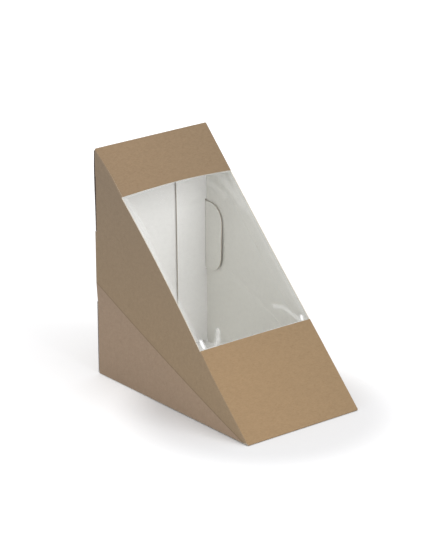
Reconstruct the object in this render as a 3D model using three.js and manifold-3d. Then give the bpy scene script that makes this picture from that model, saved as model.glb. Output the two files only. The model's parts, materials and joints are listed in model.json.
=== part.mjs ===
// Sandwich wedge pack: a folded kraft-board wedge with a clear window in its sloping front
// and a back lid that folds down from the rear edge of the base.
// Units are millimetres. +Z is up, +Y is the back, +X is the right-hand side seen from the front.
// The origin is on the table, under the middle of the closed pack.

import * as THREE from 'three';
import { mergeVertices } from 'three/addons/utils/BufferGeometryUtils.js';
import Module from 'manifold-3d';

const wasm = await Module();
wasm.setup();

// Driving dimensions of the pack
const width = 72; // across the two side walls, outside
const depth = 123; // from the front tip to the back edge of the side walls
const height = 123; // from the table to the top edge of the front
const board = 0.45; // thickness of the kraft board
const film = 0.12; // thickness of the window film
const gap = 0.3; // clearance between pieces that touch
const bite = 0.06; // how far plies and flaps that are joined run into each other
const shave = 0.03; // how far one face lies behind its neighbour where both would be flush

// Bands of the front, measured along the slope; the window takes what is left between them
const bottomBand = 54;
const topBand = 29;

// Glue flaps that hold the side walls on the base
const glueFlapWidth = 14;
const glueFlapFront = 16; // free length of base in front of each flap
const glueFlapBack = 4; // free length of base behind each flap
const glueFlapTaper = 9;

// Relief at the front tip of each side wall
const tipReliefLength = 7;
const tipReliefRise = 3;

// Dust flaps folded in along the back edges
const dustFlapWidth = 21;
const dustFlapDrop = 15; // how far the flap ends below the top of the pack, at its fold
const dustFlapTaper = 8; // and how much lower it ends at its free edge
const dustFlapBottom = 1.6;

// Slanted creases that let the pack fold flat
const creaseWidth = 0.9;
const creaseDepth = 0.12;

// Locking tabs of the lid, and the slits that take them
const tabHeight = 37.5;
const tabDepth = 15;
const tabCornerDepth = 10;
const tabCornerHeight = 9.5;
const tabCentre = 61.5;
const slitClearance = 0.75; // at each end of a tab
const lipLength = 36;
const lipReach = 0.9; // how far the side wall stands out behind the fold at the slit
const lipTaper = 5;

// Lid panel and its tuck flap
const lidBulge = 0.85; // how far the panel springs out above the tabs
const lidBulgeDrop = 11; // how far below the top of the pack that is
const lidTopLift = 0.2; // what is left of that at the tuck fold
const lidSideInset = 0.2;
const lidShoulderDrop = 1.5; // how much lower the panel ends beside the tuck flap
const tuckLength = 16;
const tuckInset = 6.5;
const tuckCorner = 6;

// Glued margins of the film
const filmMargin = 8; // behind each band
const filmSide = 10; // down the inside of each side wall

const arcSteps = 8;
const foldSteps = 16;

// Values worked out from the dimensions above
const half = width / 2;
const slope = Math.hypot(depth, height);
const slopeAngle = Math.atan2(height, depth);
const slopeDegrees = THREE.MathUtils.radToDeg(slopeAngle);
const tipFold = board / Math.tan(slopeAngle / 2); // from the sharp tip to the inner fold line
const tipRound = tipFold - board + shave; // what the rounded fold takes off the sharp tip
const lidReach = gap + board + lidBulge; // how far the lid stands behind the side walls
const front = -(depth - tipRound + lidReach) / 2 - tipRound;
const back = front + depth;
const upSlope = new THREE.Vector3(0, Math.cos(slopeAngle), Math.sin(slopeAngle));
const outward = new THREE.Vector3(0, -Math.sin(slopeAngle), Math.cos(slopeAngle));
const tip = new THREE.Vector3(0, front, 0);
const rise = height / depth;
const frontDrop = (board * slope) / depth; // how far the inner face of the front lies below its outer face
const windowTop = slope - topBand;
const windowSink = board / 3; // how far the wall edges lie below the inner face of the front there
const edgeRadius = board / 2 - shave;
const wallInside = half - board;
const tabInside = wallInside - gap - board;
const lidFront = back + gap;
const lidMiddle = lidFront + board / 2;
const hingeHeight = board / 2;
const tuckBelow = board + gap; // outer face of the tuck flap, below the outer face of the front
const tuckMiddle = tuckBelow + board / 2;
const tuckFoldY = lidMiddle + lidTopLift;
const tuckFoldAlong = (tuckFoldY - front - tuckMiddle * upSlope.z) / upSlope.y;
const tuckFoldZ = tuckFoldAlong * upSlope.z - tuckMiddle * upSlope.y;
const dustFlapTop = height - dustFlapDrop;
const X = new THREE.Vector3(1, 0, 0);
const Y = new THREE.Vector3(0, 1, 0);
const Z = new THREE.Vector3(0, 0, 1);

// Points along an ellipse arc, both ends included
function arc(centreU, centreV, radiusU, radiusV, fromDeg, toDeg) {
  const points = [];
  for (let i = 0; i <= arcSteps; i += 1) {
    const angle = THREE.MathUtils.degToRad(fromDeg + ((toDeg - fromDeg) * i) / arcSteps);
    points.push([centreU + radiusU * Math.cos(angle), centreV + radiusV * Math.sin(angle)]);
  }
  return points;
}

// Plate with a given outline: u and v lie in its plane, and it is thick along u x v from the origin
function plate(outline, thickness, origin, u, v) {
  const shape = new THREE.Shape(outline.map(([a, b]) => new THREE.Vector2(a, b)));
  const geometry = new THREE.ExtrudeGeometry(shape, { depth: thickness, bevelEnabled: false });
  const normal = new THREE.Vector3().crossVectors(u, v);
  const frame = new THREE.Matrix4().makeBasis(u, v, normal).setPosition(origin);
  return geometry.applyMatrix4(frame);
}

// Rod along X, used where the board of the lid turns back on itself
function rodAlongX(halfLength, y, z, radius) {
  const geometry = new THREE.CylinderGeometry(radius, radius, 2 * halfLength, foldSteps);
  return geometry.rotateZ(Math.PI / 2).translate(0, y, z);
}

function solid(geometry) {
  const bare = geometry.clone();
  bare.deleteAttribute('normal');
  bare.deleteAttribute('uv');
  const welded = mergeVertices(bare, 1e-5);
  return new wasm.Manifold(new wasm.Mesh({
    numProp: 3,
    vertProperties: new Float32Array(welded.attributes.position.array),
    triVerts: new Uint32Array(welded.index.array),
  }));
}

function join(geometries) {
  return geometries.map(solid).reduce((whole, piece) => whole.add(piece));
}

function toMesh(name, body, material) {
  const data = body.getMesh();
  const geometry = new THREE.BufferGeometry();
  geometry.setAttribute('position', new THREE.BufferAttribute(new Float32Array(data.vertProperties), 3));
  geometry.setIndex(new THREE.BufferAttribute(new Uint32Array(data.triVerts), 1));
  geometry.computeVertexNormals();
  const mesh = new THREE.Mesh(geometry, material);
  mesh.name = name;
  return mesh;
}

// Place on the sloping front: x across, distance up the slope, and depth below its outer face
function onFront(x, along, below = 0) {
  return tip.clone().addScaledVector(upSlope, along).addScaledVector(outward, -below).setX(x);
}

// Outside of the folded sleeve: front and side walls in one, with the long edges rounded
// as the board rounds over a fold
function sleeveOutside() {
  const foot = board - bite;
  const section = new THREE.Shape([
    new THREE.Vector2(front + foot / rise, foot),
    new THREE.Vector2(back, foot),
    new THREE.Vector2(back, height),
  ]);
  const geometry = new THREE.ExtrudeGeometry(section, {
    depth: width - 2 * board,
    bevelThickness: board,
    bevelSize: board,
    bevelOffset: -board,
    bevelSegments: 4,
  });
  const frame = new THREE.Matrix4().makeBasis(Y, Z, X).setPosition(-wallInside, 0, 0);
  return geometry.applyMatrix4(frame);
}

// Inside of the sleeve, which is open at the foot and at the back
function sleeveInside() {
  const low = -board;
  const far = back + board;
  const outline = [
    [front + (low + frontDrop) / rise, low],
    [far, low],
    [far, (far - front) * rise - frontDrop],
  ];
  return plate(outline, 2 * wallInside, new THREE.Vector3(-wallInside, 0, 0), Y, Z);
}

// Window, cut out of the front from fold line to fold line
function windowCut() {
  const side = half + board;
  const outline = [[-side, bottomBand], [side, bottomBand], [side, windowTop], [-side, windowTop]];
  return plate(outline, board + windowSink + gap, onFront(0, 0, board + windowSink), X, upSlope);
}

// Relief that clears the foot of a side wall away from the front tip
function tipRelief(side) {
  const sink = frontDrop + shave;
  const low = -board;
  const outline = [
    [front + (low + sink) / rise, low],
    [front + tipReliefLength, low],
    [front + tipReliefLength, board],
    [front + (tipReliefRise + sink) / rise, tipReliefRise],
  ];
  const start = side > 0 ? wallInside : -half - board;
  return plate(outline, 2 * board, new THREE.Vector3(start, 0, 0), Y, Z);
}

// Base with the round nose of its front fold, which runs under the front panel
function base() {
  const middle = front + tipFold;
  const nose = arc(middle, board, board - shave, board - shave, 270, 180 - slopeDegrees);
  const outline = [[back, 0], [middle, 0], ...nose, [middle + board, board], [back, board]];
  const side = wallInside - shave;
  return plate(outline, 2 * side, new THREE.Vector3(-side, 0, 0), Y, Z);
}

// Flap along the foot of a side wall, glued down on the base
function glueFlap(side) {
  const from = front + glueFlapFront;
  const to = back - glueFlapBack;
  const outer = wallInside + bite;
  const inner = wallInside - glueFlapWidth;
  const outline = [
    [side * outer, from],
    [side * outer, to],
    [side * inner, to - glueFlapTaper],
    [side * inner, from + glueFlapTaper],
  ];
  return plate(outline, board, new THREE.Vector3(0, 0, board - bite / 2), X, Y);
}

// Flap along the back edge of a side wall, folded in behind the lid
function dustFlap(side) {
  const outer = wallInside + bite;
  const inner = half - dustFlapWidth;
  const outline = [
    [side * outer, dustFlapBottom],
    [side * outer, dustFlapTop],
    [side * inner, dustFlapTop - dustFlapTaper],
    [side * inner, dustFlapBottom],
  ];
  return plate(outline, board, new THREE.Vector3(0, back - shave, 0), X, Z);
}

// Opening in the back corner that a locking tab of the lid goes through
function slit(side) {
  const bottom = tabCentre - tabHeight / 2 - slitClearance;
  const top = tabCentre + tabHeight / 2 + slitClearance;
  const outer = wallInside;
  const inner = tabInside - gap;
  const outline = [[inner, bottom], [outer, bottom], [outer, top], [inner, top]];
  const mirrored = outline.map(([x, z]) => [side * x, z]);
  return plate(mirrored, 4 * board, new THREE.Vector3(0, back + board, 0), X, Z);
}

// Lip of the side wall that stays straight beside the slit, and so stands out behind the fold
function slitLip(side) {
  const bottom = tabCentre - lipLength / 2;
  const top = tabCentre + lipLength / 2;
  const root = back - 2 * board;
  const outline = [
    [root, bottom - lipTaper],
    [back + lipReach, bottom],
    [back + lipReach, top],
    [root, top],
  ];
  const start = side > 0 ? wallInside : -half;
  return plate(outline, board, new THREE.Vector3(start, 0, 0), Y, Z);
}

// Shallow groove pressed into a face, from a starting point and along a direction in that face
function groove(start, along, outwards, length) {
  const outline = [
    [-creaseDepth, 0],
    [0, -creaseWidth / 2],
    [board, -creaseWidth / 2],
    [board, creaseWidth / 2],
    [0, creaseWidth / 2],
  ];
  return plate(outline, length, start, outwards, along.clone().cross(outwards));
}

// Slanted crease on the outside of a side wall, from the front tip up to the back edge,
// and its straight run on across the dust flap beyond the slit
function creases(side) {
  const angle = slopeAngle / 2;
  const wallRun = new THREE.Vector3(0, Math.cos(angle), Math.sin(angle));
  const flapRun = new THREE.Vector3(-side * Math.cos(angle), 0, Math.sin(angle));
  const tipCorner = tip.clone().setX(side * half);
  const flapStart = tabInside - 2 * gap;
  const flapRise = (depth + half - flapStart) * Math.tan(angle);
  return [
    groove(tipCorner, wallRun, X.clone().multiplyScalar(side), (depth - board) / Math.cos(angle)),
    groove(new THREE.Vector3(side * flapStart, back, flapRise), flapRun, Y, dustFlapWidth),
  ];
}

function boardShell(material) {
  let folded = solid(sleeveOutside()).subtract(solid(sleeveInside())).subtract(solid(windowCut()));
  folded = folded.add(solid(base()));
  for (const side of [-1, 1]) {
    folded = folded
      .subtract(solid(tipRelief(side)))
      .add(solid(glueFlap(side)))
      .add(solid(dustFlap(side)))
      .subtract(solid(slit(side)))
      .add(solid(slitLip(side)));
    for (const line of creases(side)) {
      folded = folded.subtract(solid(line));
    }
  }
  return toMesh('board_shell', folded, material);
}

// Section of the lid panel: it stands straight up to the tabs, springs out above them
// and comes back to the tuck fold
function lidSection() {
  const tabTop = tabCentre + tabHeight / 2;
  const line = [[0, hingeHeight], [0, tabTop], [lidBulge, height - lidBulgeDrop], [lidTopLift, tuckFoldZ]];
  const innerFace = line.map(([out, z]) => [lidFront + out, z]);
  const outerFace = line.map(([out, z]) => [lidFront + board + out, z]);
  return [...innerFace, ...outerFace.reverse()];
}

// Outline of the lid seen from behind: narrower between the lips of the side walls,
// where the tabs fold off it, and cut down at the top beside the tuck flap
function lidOutline() {
  const wide = half - lidSideInset;
  const narrow = wallInside - gap;
  const low = tabCentre - lipLength / 2 - lipTaper - gap;
  const high = tabCentre + tabHeight / 2 + slitClearance;
  const shoulder = height - lidShoulderDrop;
  const right = [
    [wide, 0],
    [wide, low],
    [narrow, low],
    [narrow, high],
    [wide, high],
    [wide, shoulder],
    [half - tuckInset, shoulder],
    [half - tuckInset, height],
  ];
  const left = right.map(([x, z]) => [-x, z]).reverse();
  return [...right, ...left];
}

// Locking tab that folds forward off the lid and lies inside a side wall
function tab(side) {
  const bottom = tabCentre - tabHeight / 2;
  const top = tabCentre + tabHeight / 2;
  const reach = lidFront - tabDepth;
  const outline = [
    [lidMiddle, bottom],
    [lidMiddle, top],
    ...arc(reach + tabCornerDepth, top - tabCornerHeight, tabCornerDepth, tabCornerHeight, 90, 180),
    ...arc(reach + tabCornerDepth, bottom + tabCornerHeight, tabCornerDepth, tabCornerHeight, 180, 270),
  ];
  const start = side > 0 ? tabInside : -tabInside - board;
  return plate(outline, board, new THREE.Vector3(start, 0, 0), Y, Z);
}

// Tuck flap: it folds forward off the top of the lid and lies under the top band
function tuckFlap() {
  const side = half - tuckInset;
  const reach = tuckFoldAlong - tuckLength;
  const outline = [
    [side, tuckFoldAlong],
    [-side, tuckFoldAlong],
    ...arc(-side + tuckCorner, reach + tuckCorner, tuckCorner, tuckCorner, 180, 270),
    ...arc(side - tuckCorner, reach + tuckCorner, tuckCorner, tuckCorner, 270, 360),
  ];
  return plate(outline, board, onFront(0, 0, tuckBelow + board), X, upSlope);
}

function backLid(material) {
  const panel = solid(plate(lidSection(), width, new THREE.Vector3(-half, 0, 0), Y, Z));
  const cutter = plate(lidOutline(), 2 * tabDepth, new THREE.Vector3(0, back + tabDepth, 0), X, Z);
  const lid = panel
    .intersect(solid(cutter))
    .add(solid(rodAlongX(half - lidSideInset, lidMiddle, hingeHeight, edgeRadius)))
    .add(solid(rodAlongX(half - tuckInset - shave, tuckFoldY, tuckFoldZ, edgeRadius)))
    .add(solid(tab(-1)))
    .add(solid(tab(1)))
    .add(solid(tuckFlap()));
  return toMesh('back_lid', lid, material);
}

// Window film: behind the bands, across the opening, and folded onto the inside of both side walls
function windowFilm(material) {
  const from = bottomBand - filmMargin;
  const to = windowTop + filmMargin;
  const side = wallInside - gap;
  const below = board + gap;
  const face = plate(
    [[-side, from], [side, from], [side, to], [-side, to]],
    film,
    onFront(0, 0, below + film),
    X,
    upSlope,
  );
  const strips = [-1, 1].map((hand) => {
    const start = onFront(hand > 0 ? side - film : -side, 0, below + film / 2);
    const outline = [
      [bottomBand, 0],
      [windowTop, 0],
      [windowTop - filmSide, -filmSide],
      [bottomBand + filmSide, -filmSide],
    ];
    return plate(outline, film, start, upSlope, outward);
  });
  return toMesh('window_film', join([face, ...strips]), material);
}

const kraft = new THREE.MeshStandardMaterial({ color: 0xa68a6a, roughness: 0.85, metalness: 0 });
const clear = new THREE.MeshStandardMaterial({
  color: 0xf2f3ee,
  roughness: 0.08,
  metalness: 0,
  transparent: true,
  opacity: 0.25,
});

const pack = new THREE.Group();
pack.add(boardShell(kraft), backLid(kraft), windowFilm(clear));

export default pack;
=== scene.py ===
"""Dresses a folded kraft-board sandwich wedge: board, window film, back lid, floor and light."""

import json
import math

import bpy
from bpy.props import FloatProperty, FloatVectorProperty, PointerProperty
from mathutils import Matrix, Vector


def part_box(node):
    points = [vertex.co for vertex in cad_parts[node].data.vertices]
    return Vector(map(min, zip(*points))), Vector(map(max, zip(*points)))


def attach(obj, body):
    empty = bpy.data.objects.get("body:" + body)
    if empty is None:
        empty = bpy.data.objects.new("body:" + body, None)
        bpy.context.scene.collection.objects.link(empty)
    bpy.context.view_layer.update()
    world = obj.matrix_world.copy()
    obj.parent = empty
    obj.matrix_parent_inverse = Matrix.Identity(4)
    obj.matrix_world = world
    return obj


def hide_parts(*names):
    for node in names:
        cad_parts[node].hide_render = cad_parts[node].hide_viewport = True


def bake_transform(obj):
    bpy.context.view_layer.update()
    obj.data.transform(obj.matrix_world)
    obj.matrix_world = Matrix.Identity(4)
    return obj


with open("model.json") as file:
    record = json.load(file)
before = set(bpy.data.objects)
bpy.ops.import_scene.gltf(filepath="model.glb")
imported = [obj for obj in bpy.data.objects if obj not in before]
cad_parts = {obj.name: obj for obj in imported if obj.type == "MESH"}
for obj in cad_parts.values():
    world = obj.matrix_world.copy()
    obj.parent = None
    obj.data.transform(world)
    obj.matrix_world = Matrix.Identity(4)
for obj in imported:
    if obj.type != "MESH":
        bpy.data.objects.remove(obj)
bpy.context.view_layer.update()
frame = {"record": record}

bl_info = {
    "name": "Sandwich Wedge Pack",
    "version": (1, 0, 0),
    "blender": (4, 5, 0),
    "location": "View3D > Sidebar > Wedge Pack",
    "description": "Builds a folded kraft-board sandwich wedge with a film window and a back lid",
    "category": "Add Mesh",
}

MM = 0.001
SHELL_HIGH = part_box("board_shell")[1]
JOINTS = frame["record"]["behaviour"]["joints"]
HINGE = next(joint for joint in JOINTS if joint["name"] == "lid_hinge")

# Sizes of the folded blank, in metres
BOARD = 0.45 * MM
GAP = 0.3 * MM
STEP = 0.01 * MM  # height of the step where a panel changes its width
THIN = 0.02 * MM  # radius left at the core of a fold
HALF = SHELL_HIGH.x
WALL = HALF - BOARD  # inner face of a side wall
INNER_SIDE = WALL - 0.03 * MM  # half width of the panels that lie between the side walls
HINGE_Y = HINGE["pos_m"][1]
BACK = HINGE_Y - BOARD / 2 - GAP  # back faces of the dust flaps
TOP = SHELL_HIGH.z
DEPTH = TOP  # the wedge is as deep as it is high
FRONT = BACK - DEPTH  # where the front and the underside would meet in a sharp tip
SLOPE = math.hypot(DEPTH, TOP)
SLOPE_ANGLE = math.atan2(TOP, DEPTH)
UP = Vector((0, DEPTH, TOP)).normalized()
OUT = Vector((0, -TOP, DEPTH)).normalized()
TIP_RADIUS = 0.3 * MM
TIP_FOLD = TIP_RADIUS / math.tan(SLOPE_ANGLE / 2)
TIP_RELIEF = 7 * MM  # length of the base fold that is left open at the tip
BOTTOM_BAND = 54 * MM
BOTTOM_BOW = 0.5 * MM
WINDOW_TOP = SLOPE - 29.8 * MM

# Side walls and their creases
WALL_TIP = 1.9 * MM  # how far behind the sharp tip a side wall starts
WALL_TOP = BOARD * SLOPE / DEPTH  # how far the wall's upper edge lies under the front's outer face
CREASE_SHARE = math.tan(SLOPE_ANGLE / 2)  # height of the crease as a share of the depth
CREASE_DROP = 0.9 * MM
CREASE_SAG = 1.9 * MM
CREASE_ROWS = 0.4  # share of a side wall's rows that lies below its crease
CREASE_FIELD = 6 * MM  # width of the band in which the painted crease shading changes
DISH_START = BOTTOM_BAND * 0.75
DISH_END = SLOPE - 2 * MM
FOLD_WAVE = 29 * MM

# Flaps, slits and the lips beside them
DUST_WIDTH = 20.6 * MM
DUST_SLANT = 0.7 * MM
DUST_SLIT = 0.12 * MM
DUST_TOP = TOP - 15 * MM
DUST_TAPER = 8 * MM
DUST_BOTTOM = 1.6 * MM
DUST_LEAN = 0.25 * MM
GLUE_WIDTH = 14 * MM
GLUE_TAPER = 9 * MM
GLUE_START = FRONT + 16 * MM
GLUE_END = BACK - 4 * MM
TAB_CENTRE = 61.5 * MM
TAB_HEIGHT = 37.5 * MM
TAB_DEPTH = 15 * MM
TAB_CORNER = 9.75 * MM
TAB_LOW = TAB_CENTRE - TAB_HEIGHT / 2
TAB_HIGH = TAB_CENTRE + TAB_HEIGHT / 2
SLIT_END = 0.75 * MM
LIP_REACH = 0.9 * MM
LIP_LOW = TAB_CENTRE - 21 * MM
LIP_HIGH = TAB_CENTRE + 16.8 * MM
LIP_TAPER = 9.5 * MM

# Lid
LID_FACE = HINGE_Y + BOARD / 2
LID_BULGE = 0.55 * MM
LID_PEAK = TOP - 11 * MM  # height at which the lid stands off most
LID_LEVEL = TOP - 0.75 * MM
LID_TOP_STAND = 0.2 * MM
LID_END = TOP - 1.5 * MM
LID_SIDE = HALF - 0.2 * MM
LID_MARGIN = 0.8 * MM  # inner margin of the lid behind the side walls, coloured with painted shade
SHADED = 3  # material slot of the painted shade on the lid's cut edges and inner margin
TUCK_LENGTH = 16 * MM
TUCK_CORNER = 6 * MM
TUCK_FOLD = SLOPE + 0.04 * MM
TUCK_TURN = math.pi * 0.75
TUCK_SIDE = HALF - 6.5 * MM
TUCK_BELOW = BOARD + GAP
HINGE_END = BOARD * 1.6  # height at which the hinge strip meets the lid

# Window film
FILM_SIDE = WALL - 0.1 * MM
FILM_BELOW = BOARD + GAP * 0.8
FILM_TUCK = 8 * MM  # how far the film reaches behind each band
FILM_DEPTH = 10 * MM  # how far it runs down the inside of a side wall
FILM_TURN = 0.7 * MM
FILM_CARRY = 26 * MM  # distance over which the top band's bow fades out in the film
FILM_FLAT, FILM_CURL = 0.84, 0.04  # shares of the film's half width: up to the turn, and half the turn
FILM_INDEX = 1.13

# Studio
# Centre of the painted shadow on the floor, where the floor's glow is least.
FLOOR_SHADOW_CENTRE = (-0.003, -0.036, 0)
FLOOR_SHADOW_FADE = (0.048, 0.084, 0.035, 0.31)  # painted shadow round the pack: from and to distance, from and to whiteness
FLOOR_FAR = (0.15, 1.2, 0.0, 0.6)
LAMPS = (("key_light", (0.35, -1.3, 0.9), 1.2, 10.5), ("top_light", (0.0, 0.1, 1.6), 1.8, 9.0))
LAMP_AIM = Vector((0, 0, 0.05))
AIM = (-5.44 * MM, 62.82 * MM)  # how far the picture's middle is from the origin, across and up

# Painted highlights in the film, along its soft creases, glint spots and edge rims: ends across and up the
# slope, radius in mm, strength
FILM_HIGHLIGHTS = (
    ((-32.0, 55.6), (-31.8, 59.0), 1.8, 1.0),
    ((31.6, 55.2), (32.2, 56.8), 1.6, 1.0),
    ((-24.6, 54.5), (-21.5, 58.0), 2.6, 0.36),
    ((-21.5, 58.0), (-19.0, 62.5), 2.2, 0.32),
    ((3.1, 92.6), (18.4, 55.0), 0.5, 0.09),
    ((19.5, 66.1), (24.5, 64.0), 2.2, 0.20),
    ((24.5, 64.0), (30.0, 55.5), 2.2, 0.22),
    ((-34.2, 54.0), (-34.2, 143.0), 3.2, 0.22),
    ((-32.0, 142.5), (-30.6, 122.0), 1.1, 0.12),
    ((34.5, 54.0), (34.5, 143.0), 2.2, 0.12),
    ((27.0, 143.0), (33.0, 122.0), 4.5, 0.10),
    ((15.0, 143.0), (24.0, 131.0), 3.5, 0.07),
    ((-34.0, 143.9), (34.0, 143.9), 0.7, 0.26),
    ((-34.0, 54.2), (34.0, 54.2), 0.8, 0.40),
)


class WedgeShape(bpy.types.PropertyGroup):
    """How the folded board and the film sag and bow"""

    band_bow: FloatProperty(name="Band bow", description="How far the free edge of the top band bows out",
                            default=3.4 * MM, unit="LENGTH")
    left_dish: FloatProperty(name="Left dish",
                             description="How far the left wall is pressed in beside the window",
                             default=1.75 * MM, unit="LENGTH")
    fold_wave: FloatProperty(name="Fold wave", description="How far the left fold of the top band waves in",
                             default=0.5 * MM, unit="LENGTH")
    right_dish: FloatProperty(name="Right dish",
                              description="How far the right wall is pressed in beside the window",
                              default=0.3 * MM, unit="LENGTH")
    crease_dip: FloatProperty(name="Crease dip",
                              description="How far a side wall dips along its slanted crease",
                              default=0.5 * MM, unit="LENGTH")
    film_ripple: FloatProperty(name="Film ripple",
                               description="Height of the slack ripples in the window film",
                               default=0.35 * MM, unit="LENGTH")


class WedgeFinish(bpy.types.PropertyGroup):
    """Colours of the board and the film, and tints that paint shade and light onto the board"""

    kraft: FloatVectorProperty(name="Kraft", description="Brown outside of the board",
                               default=(0.352, 0.237, 0.131), subtype="COLOR", size=3)
    # Painted shade: the board darkens and cools towards the top, where less light falls.
    kraft_top_shade: FloatVectorProperty(name="Kraft tint at the top",
                                    description="Tint of the board at full height",
                                    default=(0.86, 0.89, 0.97), subtype="COLOR", size=3)
    # Painted shade: the board darkens towards its right.
    kraft_right_shade: FloatVectorProperty(name="Kraft tint on the right",
                                     description="Tint of the board at its right",
                                     default=(0.90, 0.915, 0.925), subtype="COLOR", size=3)
    # Painted light: a cooler, brighter sheen on the board's faces turned sideways.
    kraft_side_sheen: FloatVectorProperty(name="Kraft tint on the sides",
                                    description="Cooler tint of the side walls",
                                    default=(1.11, 1.21, 1.39), size=3, max=2.0)
    kraft_dark: FloatVectorProperty(name="Kraft fibres",
                                    description="Darker fibres in the brown board",
                                    default=(0.280, 0.166, 0.080), subtype="COLOR", size=3)
    liner: FloatVectorProperty(name="Liner", description="White inside of the board",
                               default=(0.93, 0.925, 0.91), subtype="COLOR", size=3)
    # Painted shade: the white inside is greyer on the faces turned sideways.
    liner_side_shade: FloatVectorProperty(name="Liner on the sides",
                                    description="Greyer tint inside the side walls",
                                    default=(0.93, 0.93, 0.895), subtype="COLOR", size=3)
    cut: FloatVectorProperty(name="Cut edge", description="Bare edge of the board where it is cut",
                             default=(0.66, 0.60, 0.51), subtype="COLOR", size=3)


class WedgeView(bpy.types.PropertyGroup):
    """Where the camera stands and how bright the studio is"""

    azimuth: FloatProperty(name="Azimuth", description="Camera's turn round the pack",
                           default=math.radians(-38.4), subtype="ANGLE")
    elevation: FloatProperty(name="Elevation", description="Camera's height angle",
                             default=math.radians(19.95), subtype="ANGLE")
    roll: FloatProperty(name="Roll", description="Camera's tilt to the side",
                        default=math.radians(-0.35), subtype="ANGLE")
    distance: FloatProperty(name="Distance", description="Camera's distance from the pack",
                            default=1.4556, unit="LENGTH")
    lens_ratio: FloatProperty(name="Lens ratio", description="Focal length over the sensor's long side",
                              default=5.282)
    world_light: FloatProperty(name="World light", description="Strength of the even light from all round",
                               default=0.62)


# Mesh building

class SheetBuilder:
    """Collects folded panels of one sheet, each with an outside, an inside and cut edges."""

    OUTSIDE, INSIDE, EDGE = 0, 1, 2

    def __init__(self, name, materials):
        self.name = name
        self.materials = materials
        self.points = []
        self.faces = []
        self.slots = []
        self.smooth = []

    def add(self, corners, slot, smooth):
        self.faces.append(corners)
        self.slots.append(slot)
        self.smooth.append(smooth)

    def panel(self, outer, inner, slots=(OUTSIDE, INSIDE, EDGE)):
        """A closed panel from two grids of points; slots are for its outside, its inside and its edges."""
        rows, columns = len(outer), len(outer[0])
        first = len(self.points)
        for surface in (outer, inner):
            for row in surface:
                self.points.extend(row)
        count = rows * columns
        outside, inside, edge = slots

        def top(r, c):
            return first + r * columns + c

        def under(r, c):
            return top(r, c) + count

        for r in range(rows - 1):
            for c in range(columns - 1):
                self.add((top(r, c), top(r, c + 1), top(r + 1, c + 1), top(r + 1, c)), outside, True)
                self.add((under(r, c), under(r + 1, c), under(r + 1, c + 1), under(r, c + 1)), inside, True)
        last = rows - 1
        for c in range(columns - 1):
            self.add((top(0, c + 1), top(0, c), under(0, c), under(0, c + 1)), edge, False)
            self.add((top(last, c), top(last, c + 1), under(last, c + 1), under(last, c)), edge, False)
        last = columns - 1
        for r in range(rows - 1):
            self.add((top(r, 0), top(r + 1, 0), under(r + 1, 0), under(r, 0)), edge, False)
            self.add((top(r + 1, last), top(r, last), under(r, last), under(r + 1, last)), edge, False)

    def skin(self, surface):
        """A single face with no thickness, for a sheet much thinner than the board."""
        rows, columns = len(surface), len(surface[0])
        first = len(self.points)
        for row in surface:
            self.points.extend(row)
        for r in range(rows - 1):
            for c in range(columns - 1):
                corner = first + r * columns + c
                self.add((corner, corner + 1, corner + columns + 1, corner + columns), self.OUTSIDE, True)

    def build(self):
        mesh = bpy.data.meshes.new(self.name)
        mesh.from_pydata([tuple(p) for p in self.points], [], self.faces)
        for material in self.materials:
            mesh.materials.append(material)
        for polygon, slot, smooth in zip(mesh.polygons, self.slots, self.smooth):
            polygon.material_index = slot
            polygon.use_smooth = smooth
        mesh.validate()
        mesh.set_sharp_from_angle(angle=math.radians(30))
        piece = bpy.data.objects.new(self.name, mesh)
        bpy.context.scene.collection.objects.link(piece)
        return piece


def grid(rows, columns, place):
    """A grid of points from place(v, u), with u and v from 0 to 1."""
    return [[place(r / (rows - 1), c / (columns - 1)) for c in range(columns)] for r in range(rows)]


def thick(surface, step):
    """Both faces of a panel: the given surface and the same one moved by a fixed step."""
    return surface, [[point + step for point in row] for row in surface]


def flipped(surface, wanted=True):
    """The same surface with its rows turned round, so that it faces the other way."""
    return [row[::-1] for row in surface] if wanted else surface


def spread(start, end, steps):
    """Evenly spaced values from start to end."""
    return [start + (end - start) * i / steps for i in range(steps + 1)]


def corner_cut(run, length, corner):
    """How far a round corner cuts into a flap's side, at a distance run from its fold."""
    past = max(run - (length - corner), 0.0) / corner
    return corner * (1 - math.sqrt(max(1 - past * past, 0.0)))


def on_front(x, along, below=0.0):
    """Place on the sloping front: across, up the slope and below its outer face."""
    point = Vector((0, FRONT, 0)) + UP * along - OUT * below
    return Vector((x, point.y, point.z))


def ease(t):
    """Rises smoothly from 0 to 1 as t goes from 0 to 1."""
    return t * t * (3 - 2 * t)


def arch(t):
    """Rises from 0 to 1 and back as t goes from 0 to 1."""
    return math.sin(math.pi * min(max(t, 0.0), 1.0))


def crease_height(y):
    """Height of the slanted crease of a side wall, which sags a little on its way to the tip."""
    t = (y - FRONT) / DEPTH
    return max(CREASE_SHARE * (y - FRONT) - CREASE_DROP - CREASE_SAG * 4 * t * (1 - t), 0.0)


def wall_dish(side, y, z):
    """How far a side wall lies inside its flat plane at a height z and a depth y."""
    shape = bpy.context.scene.wedge_shape
    reach = max(y - FRONT, 1e-6) * TOP / DEPTH
    share = min(z / reach, 1.0)
    fold = crease_height(y) / reach
    along = (y - FRONT) / DEPTH * SLOPE
    pressed = arch((along - DISH_START) / (DISH_END - DISH_START))
    dish = (shape.left_dish if side < 0 else shape.right_dish) * pressed
    if side < 0:
        dish += shape.fold_wave * arch((along - SLOPE + FOLD_WAVE) / FOLD_WAVE) ** 2
    above = max(share - fold, 0.0) / (1 - fold)
    span = max(fold, 0.05) if share < fold else 0.5
    crease = 1 - min(abs(share - fold) / span, 1.0)
    return dish * above ** 1.4 + shape.crease_dip * crease * arch(along / SLOPE) ** 0.7


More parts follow.
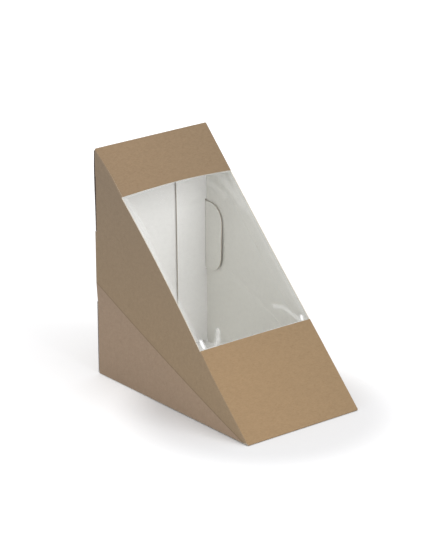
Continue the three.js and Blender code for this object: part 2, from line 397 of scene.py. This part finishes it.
def front_bow(x, along):
    """How far the front panel bows out of its flat plane."""
    shape = bpy.context.scene.wedge_shape
    across = arch((x + HALF) / (2 * HALF))
    if along > WINDOW_TOP - 1e-5:
        rest = (along - WINDOW_TOP) / (SLOPE - WINDOW_TOP)
        return shape.band_bow * across * (1 - rest) ** 1.3
    rest = (BOTTOM_BAND - along) / BOTTOM_BAND
    return BOTTOM_BOW * across * math.exp(-max(rest, 0.0) * 3)


# Panels of the board

def side_wall(sheet, side):
    """Triangular wall, whose grid runs along the base and up to the sloping edge."""
    def place(v, u):
        start = FRONT + WALL_TIP
        y = start + (BACK - BOARD - start) * u ** 1.15
        low = BOARD + max(0.0, FRONT + TIP_RELIEF * 0.8 - y) * 0.12
        high = max((y - FRONT) * TOP / DEPTH - WALL_TOP, low)
        middle = min(max(crease_height(y), low), high)
        if v < CREASE_ROWS:
            z = low + (middle - low) * v / CREASE_ROWS
        else:
            z = middle + (high - middle) * (v - CREASE_ROWS) / (1 - CREASE_ROWS)
        return Vector((side * (HALF - wall_dish(side, y, z)), y, z))

    surface = flipped(grid(61, 81, place), side < 0)
    sheet.panel(*thick(surface, Vector((-side * BOARD, 0, 0))))


def wall_strip(sheet, side):
    """Free back edge of a side wall above the dust flap, and its lip beside the slit."""
    def plain(v, u):
        z = DUST_TOP + (TOP - WALL_TOP - DUST_TOP) * v
        y = BACK - BOARD + BOARD * u
        return Vector((side * (HALF - wall_dish(side, BACK, z)), y, min(z, (y - FRONT) - BOARD * 1.4)))

    def lip(v, u):
        z = LIP_LOW + (LIP_HIGH - LIP_LOW) * v
        reach = BOARD + LIP_REACH * min((z - LIP_LOW) / LIP_TAPER, 1.0)
        return Vector((side * HALF, BACK - BOARD + reach * u, z))

    for place, rows in ((plain, 8), (lip, 30)):
        sheet.panel(*thick(flipped(grid(rows, 3, place), side < 0), Vector((-side * BOARD, 0, 0))))


def round_fold(sheet, line, normal_a, normal_b):
    """Rounded outside of a fold that follows the given line of inner fold points."""
    def place(radius):
        return [[point + (normal_a * math.cos(angle) + normal_b * math.sin(angle)) * radius
                 for angle in spread(0.0, math.pi / 2, 5)] for point in line]

    turned = normal_a.cross(normal_b).dot(line[-1] - line[0]) > 0
    sheet.panel(flipped(place(BOARD), turned), flipped(place(BOARD * 0.08), turned))


def front_band(sheet, low, high, rows):
    """Part of the sloping front from one place up the slope to another, between the side walls."""
    def place(v, u):
        along = low + (high - low) * v
        fold = on_front(0, along, BOARD)
        left = wall_dish(-1, fold.y, fold.z) - WALL
        right = WALL - wall_dish(1, fold.y, fold.z)
        x = left + (right - left) * u
        return on_front(x, along, -front_bow(x, along))

    sheet.panel(*thick(grid(rows, 49, place), -OUT * BOARD))


def side_folds(sheet, side):
    """Rounded folds of a side wall along the front, the base and the dust flap."""
    outside = Vector((side, 0, 0))

    def fold_point(along):
        point = on_front(side * WALL, along, BOARD)
        point.x -= side * wall_dish(side, point.y, point.z)
        return point

    for low, high in ((TIP_FOLD * 1.4, BOTTOM_BAND), (WINDOW_TOP, SLOPE - BOARD)):
        round_fold(sheet, [fold_point(along) for along in spread(low, high, 24)], outside, OUT)
    foot = [Vector((side * WALL, y, 2 * BOARD)) for y in spread(FRONT + TIP_RELIEF, BACK - BOARD, 24)]
    round_fold(sheet, foot, outside, Vector((0, 0, -1)))
    for low, high in ((DUST_BOTTOM, LIP_LOW), (LIP_HIGH, DUST_TOP)):
        back = [Vector((side * WALL, BACK - BOARD, z)) for z in spread(low, high, 24)]
        round_fold(sheet, back, outside, Vector((0, 1, 0)))


def base_panel(sheet):
    """Flat base, and the round nose at the tip where it folds up into the front."""
    def place(v, u):
        return Vector((-INNER_SIDE + 2 * INNER_SIDE * u, BACK + (FRONT + TIP_FOLD - BACK) * v, 0))

    sheet.panel(*thick(grid(25, 13, place), Vector((0, 0, BOARD))))

    def nose(radius):
        def place(v, u):
            angle = -math.pi / 2 - (math.pi - SLOPE_ANGLE) * v
            y = FRONT + TIP_FOLD + radius * math.cos(angle)
            return Vector((-INNER_SIDE + 2 * INNER_SIDE * u, y, TIP_RADIUS + radius * math.sin(angle)))
        return grid(9, 13, place)

    sheet.panel(nose(TIP_RADIUS), nose(THIN), slots=(sheet.OUTSIDE,) * 3)


def glue_flap(sheet, side):
    """Flap glued to the base, folded in from the foot of a side wall."""
    def place(v, u):
        inset = GLUE_TAPER * v
        y = GLUE_START + inset + (GLUE_END - GLUE_START - 2 * inset) * u
        return Vector((side * (WALL - GLUE_WIDTH * v), y, 2 * BOARD))

    surface = flipped(grid(9, 25, place), side > 0)
    sheet.panel(*thick(surface, Vector((0, 0, -BOARD))), slots=(sheet.INSIDE, sheet.OUTSIDE, sheet.EDGE))


def dust_flap(sheet, side):
    """Flap folded in along the back; its root is cut away behind the slit."""
    slit_low, slit_high = TAB_LOW - SLIT_END, TAB_HIGH + SLIT_END
    slit_side = WALL - GAP - BOARD - DUST_SLIT
    levels = spread(DUST_BOTTOM, slit_low, 12)
    levels += spread(slit_low + STEP, slit_high - STEP, 12)
    levels += spread(slit_high, DUST_TOP, 12)

    surface = []
    for z in levels:
        outer = slit_side if slit_low < z < slit_high else WALL
        inner = HALF - DUST_WIDTH + DUST_SLANT * (1 - z / DUST_TOP)
        row = []
        for u in spread(0.0, 1.0, 12):
            drop = DUST_TAPER * u * max((z - slit_high) / (DUST_TOP - slit_high), 0.0)
            lean = DUST_LEAN * u * arch(z / DUST_TOP)
            row.append(Vector((side * (outer + (inner - outer) * u), BACK - lean, z - drop)))
        surface.append(row)
    sheet.panel(*thick(flipped(surface, side < 0), Vector((0, -BOARD, 0))))


# Lid

def lid_stand(z):
    """How far the lid panel springs out behind its hinge plane at a height z."""
    if z < TAB_HIGH:
        return 0.0
    if z < LID_PEAK:
        return LID_BULGE * ease((z - TAB_HIGH) / (LID_PEAK - TAB_HIGH))
    return LID_BULGE + (LID_TOP_STAND - LID_BULGE) * ease(min((z - LID_PEAK) / (LID_LEVEL - LID_PEAK), 1.0))


def lid_panel(sheet):
    """Back panel, narrower beside the lips of the side walls."""
    low_notch, high_notch = LIP_LOW - 2 * GAP, LIP_HIGH + GAP / 2
    levels = spread(BOARD, low_notch, 24)
    levels += spread(low_notch + STEP, high_notch - STEP, 16)
    levels += spread(high_notch, LID_END, 32)

    surface = []
    for z in levels:
        side = WALL - GAP if low_notch < z < high_notch else LID_SIDE
        across = [side] + spread(side - LID_MARGIN, LID_MARGIN - side, 38) + [-side]
        surface.append([Vector((x, LID_FACE + lid_stand(z), z)) for x in across])
    sheet.panel(*thick(surface, Vector((0, -BOARD, 0))), slots=(sheet.OUTSIDE, sheet.INSIDE, SHADED))
    # The inner margin near each side, above the notch, takes the painted shade too.
    for number, corners in enumerate(sheet.faces):
        points = [sheet.points[corner] for corner in corners]
        near_edge = min(abs(point.x) for point in points) > LID_SIDE - LID_MARGIN - STEP
        if sheet.slots[number] == sheet.INSIDE and near_edge and points[0].z >= high_notch:
            sheet.slots[number] = SHADED


def lid_tab(sheet, side):
    """Rounded locking tab, which leans a little off the side wall at its free end."""
    def place(v, u):
        run = TAB_DEPTH * math.sin(u * math.pi / 2)
        cut = corner_cut(run, TAB_DEPTH, TAB_CORNER)
        lean = (1.0 - 0.6 * v) * MM * (run / TAB_DEPTH) ** 1.4
        z = TAB_LOW + cut + (TAB_HIGH - TAB_LOW - 2 * cut) * v
        return Vector((side * (WALL - GAP - lean), HINGE_Y - run, z))

    sheet.panel(*thick(flipped(grid(25, 25, place), side > 0), Vector((-side * BOARD, 0, 0))))


def tuck_flap(sheet):
    """Flap at the lid's top, folded in under the top band, with its fold and the neck below it."""
    def place(v, u):
        run = TUCK_LENGTH * math.sin(v * math.pi / 2)
        side = TUCK_SIDE - corner_cut(run, TUCK_LENGTH, TUCK_CORNER)
        return on_front(-side + 2 * side * u, TUCK_FOLD - run, TUCK_BELOW)

    sheet.panel(*thick(grid(17, 33, place)[::-1], -OUT * BOARD))
    middle = on_front(0, TUCK_FOLD, TUCK_BELOW + BOARD / 2)

    def fold(radius):
        def place(v, u):
            angle = TUCK_TURN * (1 - v)
            y, z = middle.y + radius * math.cos(angle), middle.z + radius * math.sin(angle)
            return Vector((-TUCK_SIDE + 2 * TUCK_SIDE * u, y, z))
        return grid(9, 33, place)[::-1]

    sheet.panel(fold(BOARD / 2), fold(0.0))

    def neck(v, u):
        z = LID_END + (middle.z - LID_END) * v
        return Vector((TUCK_SIDE - 2 * TUCK_SIDE * u, LID_FACE + lid_stand(z), z))

    sheet.panel(*thick(grid(4, 33, neck), Vector((0, -BOARD, 0))))


# Materials

def new_material(name):
    material = bpy.data.materials.new(name)
    material.use_nodes = True
    nodes = material.node_tree.nodes
    return material, nodes, material.node_tree.links, nodes["Principled BSDF"]


def connect(links, socket, operand):
    """Fills a socket: with a number or a vector, or by a link from another node's output."""
    if isinstance(operand, (int, float, tuple)):
        socket.default_value = operand
    else:
        links.new(operand, socket)


def add_math(nodes, links, operation, *operands):
    node = nodes.new("ShaderNodeMath")
    node.operation = operation
    for socket, operand in zip(node.inputs, operands):
        connect(links, socket, operand)
    return node.outputs[0]


def vector_math(nodes, links, operation, first, second, output="Vector"):
    node = nodes.new("ShaderNodeVectorMath")
    node.operation = operation
    connect(links, node.inputs[0], first)
    connect(links, node.inputs["Scale" if operation == "SCALE" else 1], second)
    return node.outputs[output]


def map_range(nodes, links, value, limits, kind="LINEAR"):
    """Maps a value by four limits: from low, from high, to low and to high."""
    node = nodes.new("ShaderNodeMapRange")
    node.interpolation_type = kind
    for name, limit in zip(("From Min", "From Max", "To Min", "To Max"), limits):
        node.inputs[name].default_value = limit
    links.new(value, node.inputs["Value"])
    return node.outputs["Result"]


def component(nodes, links, vector, axis):
    split = nodes.new("ShaderNodeSeparateXYZ")
    links.new(vector, split.inputs["Vector"])
    return split.outputs[axis]


def object_place(nodes):
    return nodes.new("ShaderNodeTexCoord").outputs["Object"]


def sideways(nodes, links):
    """0 on faces square to the pack's width, 1 on faces turned sideways."""
    normal = nodes.new("ShaderNodeNewGeometry").outputs["Normal"]
    return add_math(nodes, links, "ABSOLUTE", component(nodes, links, normal, "X"))


def object_noise(nodes, links, scale, detail, stretch=(1, 1, 1), roughness=0.55):
    """Noise laid in object space, in millimetres, stretched along one direction for a grain."""
    mapping = nodes.new("ShaderNodeMapping")
    mapping.inputs["Scale"].default_value = tuple(s / MM for s in stretch)
    noise = nodes.new("ShaderNodeTexNoise")
    noise.inputs["Scale"].default_value = scale
    noise.inputs["Detail"].default_value = detail
    noise.inputs["Roughness"].default_value = roughness
    links.new(object_place(nodes), mapping.inputs["Vector"])
    links.new(mapping.outputs["Vector"], noise.inputs["Vector"])
    return noise.outputs["Fac"]


def ramp(nodes, links, source, stops):
    """Colours a value by stops of position and colour."""
    band = nodes.new("ShaderNodeValToRGB")
    elements = band.color_ramp.elements
    elements[0].position, elements[0].color = stops[0][0], (*stops[0][1], 1)
    elements[1].position, elements[1].color = stops[-1][0], (*stops[-1][1], 1)
    for position, colour in stops[1:-1]:
        element = elements.new(position)
        element.color = (*colour, 1)
    links.new(source, band.inputs["Fac"])
    return band.outputs["Color"]


def shades(tone, stops):
    """Ramp stops that make one tone lighter or darker."""
    return [(position, tuple(share * c for c in tone)) for position, share in stops]


def multiply(nodes, links, first, second, factor=1.0):
    mix = nodes.new("ShaderNodeMix")
    mix.data_type = "RGBA"
    mix.blend_type = "MULTIPLY"
    mix.inputs["Factor"].default_value = factor
    links.new(first, mix.inputs["A"])
    links.new(second, mix.inputs["B"])
    return mix.outputs["Result"]


def side_tint(nodes, links, tint):
    """White on faces square to the pack's width, the tint on faces turned sideways."""
    return ramp(nodes, links, sideways(nodes, links), [(0.25, (1, 1, 1)), (0.85, tint)])


def place_tint(nodes, links, axis, low, high, tint):
    """White up to one place along an axis, the tint from another place on."""
    place = component(nodes, links, object_place(nodes), axis)
    share = map_range(nodes, links, place, (low, high, 0.0, 1.0))
    return ramp(nodes, links, share, [(0.0, (1, 1, 1)), (1.0, tint)])


def crease_painted_shading(nodes, links, line, below):
    """Painted shade as a dark line along the slanted crease of a side wall, and painted light as a paler field
    below it.
    """
    place = object_place(nodes)
    straight = (0, CREASE_SHARE / CREASE_FIELD, -1 / CREASE_FIELD)
    height = vector_math(nodes, links, "DOT_PRODUCT", place, straight, "Value")
    shift = add_math(nodes, links, "ADD", height, 0.5 - FRONT * CREASE_SHARE / CREASE_FIELD)
    depth = map_range(nodes, links, component(nodes, links, place, "Y"), (FRONT, FRONT + DEPTH, 0.0, 1.0))
    rest = add_math(nodes, links, "SUBTRACT", 1.0, depth)
    hump = add_math(nodes, links, "MULTIPLY", depth, rest)
    lowest, drop = 4 * CREASE_SAG / CREASE_FIELD, CREASE_DROP / CREASE_FIELD
    sag = add_math(nodes, links, "MULTIPLY_ADD", hump, lowest, drop)
    stops = [(0.0, (1, 1, 1)), (0.42, (0.98, 0.98, 0.98)), (0.47, line), (0.52, line)]
    stops += [(0.57, below), (1.0, below)]
    field = ramp(nodes, links, add_math(nodes, links, "SUBTRACT", shift, sag), stops)
    mix = nodes.new("ShaderNodeMix")
    mix.data_type = "RGBA"
    mix.inputs["A"].default_value = (1, 1, 1, 1)
    links.new(map_range(nodes, links, sideways(nodes, links), (0.6, 0.9, 0.0, 1.0)), mix.inputs["Factor"])
    links.new(field, mix.inputs["B"])
    return mix.outputs["Result"]


def rough_bump(nodes, links, shader, height, strength, distance):
    bump = nodes.new("ShaderNodeBump")
    bump.inputs["Strength"].default_value = strength
    bump.inputs["Distance"].default_value = distance
    links.new(height, bump.inputs["Height"])
    links.new(bump.outputs["Normal"], shader.inputs["Normal"])


def kraft_board():
    """Uncoated brown kraft: fine fibres, soft blotches and a matt surface, with painted shade and light
    multiplied in.
    """
    finish = bpy.context.scene.wedge_finish
    material, nodes, links, shader = new_material("kraft_outside")
    light, dark = tuple(finish.kraft), tuple(finish.kraft_dark)
    blotch = object_noise(nodes, links, 0.5, 5, stretch=(0.75, 1, 1), roughness=0.65)
    cloud = ramp(nodes, links, blotch, shades(light, ((0.30, 0.95), (0.5, 1.0), (0.70, 1.05))))
    fibre = object_noise(nodes, links, 1.8, 6, stretch=(0.35, 1, 1), roughness=0.75)
    ratio = tuple(d / l for d, l in zip(dark, light))
    speck = ramp(nodes, links, fibre, [(0.34, ratio), (0.5, (0.97, 0.97, 0.97)), (0.66, (1.10, 1.09, 1.07))])
    coloured = multiply(nodes, links, cloud, speck, 0.42)
    # Painted light and shade: darker and cooler at the top, darker at the right, a cool sheen on the side
    # walls, and a dark line with a paler field at each crease.
    for tint in (
            place_tint(nodes, links, "Z", 0.2 * TOP, 0.85 * TOP, tuple(finish.kraft_top_shade)),
            place_tint(nodes, links, "X", -0.6 * HALF, 0.9 * HALF, tuple(finish.kraft_right_shade)),
            side_tint(nodes, links, tuple(finish.kraft_side_sheen)),
            crease_painted_shading(nodes, links, line=(0.74, 0.73, 0.72), below=(1.09, 1.09, 1.22))):
        coloured = multiply(nodes, links, coloured, tint)
    links.new(coloured, shader.inputs["Base Color"])
    shader.inputs["Roughness"].default_value = 0.78
    shader.inputs["Specular IOR Level"].default_value = 0.25
    rough_bump(nodes, links, shader, fibre, 0.12, 0.06 * MM)
    return material


def white_liner():
    """Smooth white inside of the board, with painted shade on the inside of the side walls."""
    finish = bpy.context.scene.wedge_finish
    material, nodes, links, shader = new_material("white_inside")
    noise = object_noise(nodes, links, 0.5, 5)
    band = ramp(nodes, links, noise, shades(tuple(finish.liner), ((0.35, 0.98), (0.5, 1.0), (0.65, 1.01))))
    # Painted shade: greyer on the inside of the side walls.
    coloured = multiply(nodes, links, band, side_tint(nodes, links, tuple(finish.liner_side_shade)))
    links.new(coloured, shader.inputs["Base Color"])
    shader.inputs["Roughness"].default_value = 0.6
    shader.inputs["Specular IOR Level"].default_value = 0.3
    rough_bump(nodes, links, shader, noise, 0.06, 0.04 * MM)
    return material


def cut_edge():
    """Bare edge of the board where it is cut."""
    tone = tuple(bpy.context.scene.wedge_finish.cut)
    material, nodes, links, shader = new_material("cut_edge")
    noise = object_noise(nodes, links, 3.0, 4)
    links.new(ramp(nodes, links, noise, shades(tone, ((0.35, 0.82), (0.6, 1.08)))), shader.inputs["Base Color"])
    shader.inputs["Roughness"].default_value = 0.9
    return material


def shaded_edge():
    """Painted shade: a dark colour for the lid's cut edges and inner margin, deep in the narrow gap behind the
    side walls.
    """
    material, nodes, links, shader = new_material("shaded_edge")
    noise = object_noise(nodes, links, 3.0, 3)
    stops = [(0.35, (0.13, 0.115, 0.11)), (0.65, (0.20, 0.17, 0.15))]
    links.new(ramp(nodes, links, noise, stops), shader.inputs["Base Color"])
    shader.inputs["Roughness"].default_value = 0.9
    return material


def clear_film():
    """Thin glossy film: light and shadow pass straight through it, and its white streaks and glints are painted
    highlights.
    """
    material, nodes, links, shader = new_material("clear_film")
    nodes.remove(shader)

    def blend(factor, first, second):
        mix = nodes.new("ShaderNodeMixShader")
        links.new(factor, mix.inputs["Fac"])
        links.new(first, mix.inputs[1])
        links.new(second, mix.inputs[2])
        return mix.outputs["Shader"]

    clear = nodes.new("ShaderNodeBsdfTransparent")
    clear.inputs["Color"].default_value = (1.0, 1.0, 0.998, 1)
    gloss = nodes.new("ShaderNodeBsdfGlossy")
    gloss.inputs["Color"].default_value = (0.9, 0.9, 0.9, 1)
    gloss.inputs["Roughness"].default_value = 0.12
    highlight_paint = nodes.new("ShaderNodeBsdfDiffuse")
    highlight_paint.inputs["Color"].default_value = (0.95, 0.95, 0.95, 1)
    fresnel = nodes.new("ShaderNodeFresnel")
    behind = nodes.new("ShaderNodeNewGeometry").outputs["Backfacing"]
    index = map_range(nodes, links, behind, (0.0, 1.0, FILM_INDEX, 1 / FILM_INDEX))
    links.new(index, fresnel.inputs["IOR"])
    shine = multiply(nodes, links, fresnel.outputs[0], side_tint(nodes, links, (0, 0, 0)))
    surface = blend(shine, clear.outputs["BSDF"], gloss.outputs["BSDF"])
    # Painted highlights: white diffuse mixed in along the film's creases, glints and edge rims.
    highlighted = blend(film_highlights(nodes, links), surface, highlight_paint.outputs["BSDF"])
    path = nodes.new("ShaderNodeLightPath")
    through = add_math(nodes, links, "MAXIMUM", path.outputs["Is Shadow Ray"], path.outputs["Is Diffuse Ray"])
    film = blend(through, highlighted, clear.outputs["BSDF"])
    links.new(film, nodes["Material Output"].inputs["Surface"])
    return material


def film_highlights(nodes, links):
    """Mask of the painted highlights in the film: soft crease streaks, white glints and edge rims, each along a
    line between two points.
    """
    place = object_place(nodes)
    flat = nodes.new("ShaderNodeCombineXYZ")
    links.new(component(nodes, links, place, "X"), flat.inputs["X"])
    links.new(vector_math(nodes, links, "DOT_PRODUCT", place, tuple(UP), "Value"), flat.inputs["Y"])
    foot = FRONT * UP.y
    total = None
    for (x0, s0), (x1, s1), radius, strength in FILM_HIGHLIGHTS:
        start = Vector((x0 * MM, s0 * MM + foot, 0))
        span = Vector((x1 * MM, s1 * MM + foot, 0)) - start
        offset = vector_math(nodes, links, "SUBTRACT", flat.outputs["Vector"], tuple(start))
        along = vector_math(nodes, links, "DOT_PRODUCT", offset, tuple(span / span.length_squared), "Value")
        clamp = nodes.new("ShaderNodeClamp")
        links.new(along, clamp.inputs["Value"])
        nearest = vector_math(nodes, links, "SCALE", tuple(span), clamp.outputs["Result"])
        distance = vector_math(nodes, links, "DISTANCE", offset, nearest, "Value")
        mark = map_range(nodes, links, distance, (0.0, radius * MM, strength, 0.0), "SMOOTHSTEP")
        total = mark if total is None else add_math(nodes, links, "MAXIMUM", total, mark)
    return total


def board_materials():
    makers = {"kraft_outside": kraft_board, "white_inside": white_liner, "cut_edge": cut_edge}
    return [bpy.data.materials.get(name) or maker() for name, maker in makers.items()]


# Operators

class WEDGE_OT_sleeve(bpy.types.Operator):
    """Build the folded sleeve: front bands, side walls, base and its flaps"""

    bl_idname = "wedge.sleeve"
    bl_label = "Folded Sleeve"

    def execute(self, context):
        sheet = SheetBuilder("folded_sleeve", board_materials())
        front_band(sheet, TIP_FOLD, BOTTOM_BAND, 41)
        front_band(sheet, WINDOW_TOP, SLOPE - BOARD * 0.4, 25)
        base_panel(sheet)
        for side in (-1, 1):
            side_wall(sheet, side)
            wall_strip(sheet, side)
            side_folds(sheet, side)
            glue_flap(sheet, side)
            dust_flap(sheet, side)
        piece = sheet.build()
        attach(piece, "pack")
        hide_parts("board_shell")
        return {"FINISHED"}


class WEDGE_OT_lid(bpy.types.Operator):
    """Build the back lid with its locking tabs and tuck flap"""

    bl_idname = "wedge.lid"
    bl_label = "Back Lid"

    def execute(self, context):
        sheet = SheetBuilder("lid_board", board_materials() + [shaded_edge()])
        lid_panel(sheet)
        tuck_flap(sheet)
        for side in (-1, 1):
            lid_tab(sheet, side)
        piece = sheet.build()
        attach(piece, "lid")
        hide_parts("back_lid")
        return {"FINISHED"}


class WEDGE_OT_hinge_fold(bpy.types.Operator):
    """Build the folded strip of board that joins the base to the lid"""

    bl_idname = "wedge.hinge_fold"
    bl_label = "Hinge Fold"

    def execute(self, context):
        sheet = SheetBuilder("hinge_fold", board_materials())
        centre = Vector((0, HINGE_Y - BOARD / 2, BOARD))

        def rows(radius):
            line = [Vector((0, BACK, BOARD - radius))]
            line += [centre + Vector((0, math.sin(angle), -math.cos(angle))) * radius
                     for angle in spread(0.0, math.pi / 2, 6)]
            line += [Vector((0, centre.y + radius, HINGE_END))]
            return [[Vector((x, p.y, p.z)) for x in spread(INNER_SIDE, -INNER_SIDE, 24)] for p in line]

        sheet.panel(rows(BOARD), rows(THIN))
        piece = sheet.build()
        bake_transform(piece)
        return {"FINISHED"}


class WEDGE_OT_film(bpy.types.Operator):
    """Build the window film, folded onto the inside of both side walls"""

    bl_idname = "wedge.film"
    bl_label = "Window Film"

    def execute(self, context):
        shape = context.scene.wedge_shape
        sheet = SheetBuilder("film_window", [clear_film()])
        low, high = BOTTOM_BAND - FILM_TUCK, WINDOW_TOP + FILM_TUCK

        def sag(x, along):
            if along < BOTTOM_BAND:
                return 0.0
            across = arch((x + HALF) / (2 * HALF))
            inside = arch((along - BOTTOM_BAND) / (WINDOW_TOP - BOTTOM_BAND)) ** 0.5
            ripple = math.sin(along * 95 + x * 60) + 0.6 * math.sin(along * 41 - x * 130)
            if along < WINDOW_TOP:
                carried = shape.band_bow * across * math.exp((along - WINDOW_TOP) / FILM_CARRY)
            else:
                carried = max(front_bow(x, along), 0.0)
            return carried + shape.film_ripple * ripple * across * inside

        def edge_x(hand, along, deep):
            point = on_front(0, along, BOARD + deep)
            return hand * (FILM_SIDE - wall_dish(hand, point.y, point.z))

        def place(v, u):
            along = low + (high - low) * v
            hand = -1 if u < 0.5 else 1
            t = abs(u - 0.5) * 2
            if t <= FILM_FLAT:
                x = (edge_x(hand, along, 0) - hand * FILM_TURN) * t / FILM_FLAT
                return on_front(x, along, FILM_BELOW - sag(x, along))
            if t <= FILM_FLAT + 2 * FILM_CURL:
                angle = math.pi / 2 * (t - FILM_FLAT) / (2 * FILM_CURL)
                x = edge_x(hand, along, 0) - hand * FILM_TURN * (1 - math.sin(angle))
                return on_front(x, along, FILM_BELOW + FILM_TURN * (1 - math.cos(angle)))
            extra = (t - FILM_FLAT - 2 * FILM_CURL) / (1 - FILM_FLAT - 2 * FILM_CURL)
            trim = min(along - low, high - along) / FILM_DEPTH
            deep = FILM_TURN + (FILM_DEPTH - FILM_TURN) * extra * min(max(trim, 0.15), 1.0)
            return on_front(edge_x(hand, along, deep), along, FILM_BELOW + deep)

        sheet.skin(grid(121, 101, place))
        piece = sheet.build()
        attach(piece, "pack")
        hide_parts("window_film")
        return {"FINISHED"}


class WEDGE_OT_stage(bpy.types.Operator):
    """Set the floor, the lamps, the world and the camera"""

    bl_idname = "wedge.stage"
    bl_label = "Studio"

    def execute(self, context):
        view = context.scene.wedge_view
        self.floor()
        self.world(view.world_light)
        for name, place, size, power in LAMPS:
            self.lamp(name, place, size, power)
        self.camera(view)
        context.scene.view_settings.view_transform = "Standard"
        return {"FINISHED"}

    def floor(self):
        bpy.ops.mesh.primitive_plane_add(size=8, location=(0, 0, -0.0002))
        floor = bpy.context.object
        floor.name = "floor"
        material, nodes, links, shader = new_material("pale_floor")
        shader.inputs["Base Color"].default_value = (0.80, 0.80, 0.81, 1)
        shader.inputs["Roughness"].default_value = 0.9
        shader.inputs["Specular IOR Level"].default_value = 0.0
        shader.inputs["Emission Color"].default_value = (1, 1, 1, 1)
        # Painted shadow: the glow for camera rays is least near the pack, so the floor darkens round it, and it
        # rises to white far away.
        seen = nodes.new("ShaderNodeLightPath").outputs["Is Camera Ray"]
        away = vector_math(nodes, links, "DISTANCE", object_place(nodes), FLOOR_SHADOW_CENTRE, "Value")
        painted_shadow = map_range(nodes, links, away, FLOOR_SHADOW_FADE, "SMOOTHSTEP")
        far = map_range(nodes, links, away, FLOOR_FAR)
        lift = add_math(nodes, links, "MULTIPLY", seen, add_math(nodes, links, "ADD", painted_shadow, far))
        links.new(lift, shader.inputs["Emission Strength"])
        floor.data.materials.append(material)

    def world(self, strength):
        world = bpy.data.worlds.new("studio")
        bpy.context.scene.world = world
        world.use_nodes = True
        nodes, links = world.node_tree.nodes, world.node_tree.links
        background = nodes["Background"]
        background.inputs["Color"].default_value = (1, 1, 1, 1)
        path = nodes.new("ShaderNodeLightPath")
        rays = path.outputs["Is Camera Ray"], path.outputs["Is Transmission Ray"]
        seen = add_math(nodes, links, "MAXIMUM", *rays)
        links.new(map_range(nodes, links, seen, (0.0, 1.0, strength, 1.0)), background.inputs["Strength"])

    def lamp(self, name, place, size, power):
        data = bpy.data.lights.new(name, "AREA")
        data.size = size
        data.energy = power
        lamp = bpy.data.objects.new(name, data)
        lamp.location = place
        lamp.rotation_mode = "QUATERNION"
        lamp.rotation_quaternion = (LAMP_AIM - Vector(place)).to_track_quat("-Z", "Y")
        bpy.context.scene.collection.objects.link(lamp)

    def camera(self, view):
        data = bpy.data.cameras.new("camera")
        data.sensor_width = 36
        data.lens = view.lens_ratio * data.sensor_width
        data.clip_end = 50
        camera = bpy.data.objects.new("camera", data)
        bpy.context.scene.collection.objects.link(camera)
        a, e = view.azimuth, view.elevation
        back = Vector((math.sin(a) * math.cos(e), -math.cos(a) * math.cos(e), math.sin(e)))
        level = Vector((math.cos(a), math.sin(a), 0))
        rise = back.cross(level)
        right = level * math.cos(view.roll) + rise * math.sin(view.roll)
        up = rise * math.cos(view.roll) - level * math.sin(view.roll)
        place = back * view.distance + right * AIM[0] + up * AIM[1]
        turn = Matrix((right, up, back)).transposed().to_4x4()
        camera.matrix_world = Matrix.Translation(place) @ turn
        bpy.context.scene.camera = camera


OPERATORS = (WEDGE_OT_stage, WEDGE_OT_sleeve, WEDGE_OT_lid, WEDGE_OT_hinge_fold, WEDGE_OT_film)


class WEDGE_PT_panel(bpy.types.Panel):
    """Sidebar panel that lists the pieces of the pack"""

    bl_idname = "WEDGE_PT_panel"
    bl_label = "Wedge Pack"
    bl_space_type = "VIEW_3D"
    bl_region_type = "UI"
    bl_category = "Wedge Pack"

    def draw(self, context):
        scene = context.scene
        for group in (scene.wedge_shape, scene.wedge_finish, scene.wedge_view):
            box = self.layout.box()
            for name in group.__annotations__:
                box.prop(group, name)
        for operator in OPERATORS:
            self.layout.operator(operator.bl_idname)


CLASSES = (WedgeShape, WedgeFinish, WedgeView, *OPERATORS, WEDGE_PT_panel)


def register():
    for cls in CLASSES:
        bpy.utils.register_class(cls)
    bpy.types.Scene.wedge_shape = PointerProperty(type=WedgeShape)
    bpy.types.Scene.wedge_finish = PointerProperty(type=WedgeFinish)
    bpy.types.Scene.wedge_view = PointerProperty(type=WedgeView)


def unregister():
    del bpy.types.Scene.wedge_view
    del bpy.types.Scene.wedge_finish
    del bpy.types.Scene.wedge_shape
    for cls in reversed(CLASSES):
        bpy.utils.unregister_class(cls)


def main():
    register()
    bpy.ops.wedge.stage()
    bpy.ops.wedge.sleeve()
    bpy.ops.wedge.lid()
    bpy.ops.wedge.hinge_fold()
    bpy.ops.wedge.film()


if __name__ == "__main__":
    main()
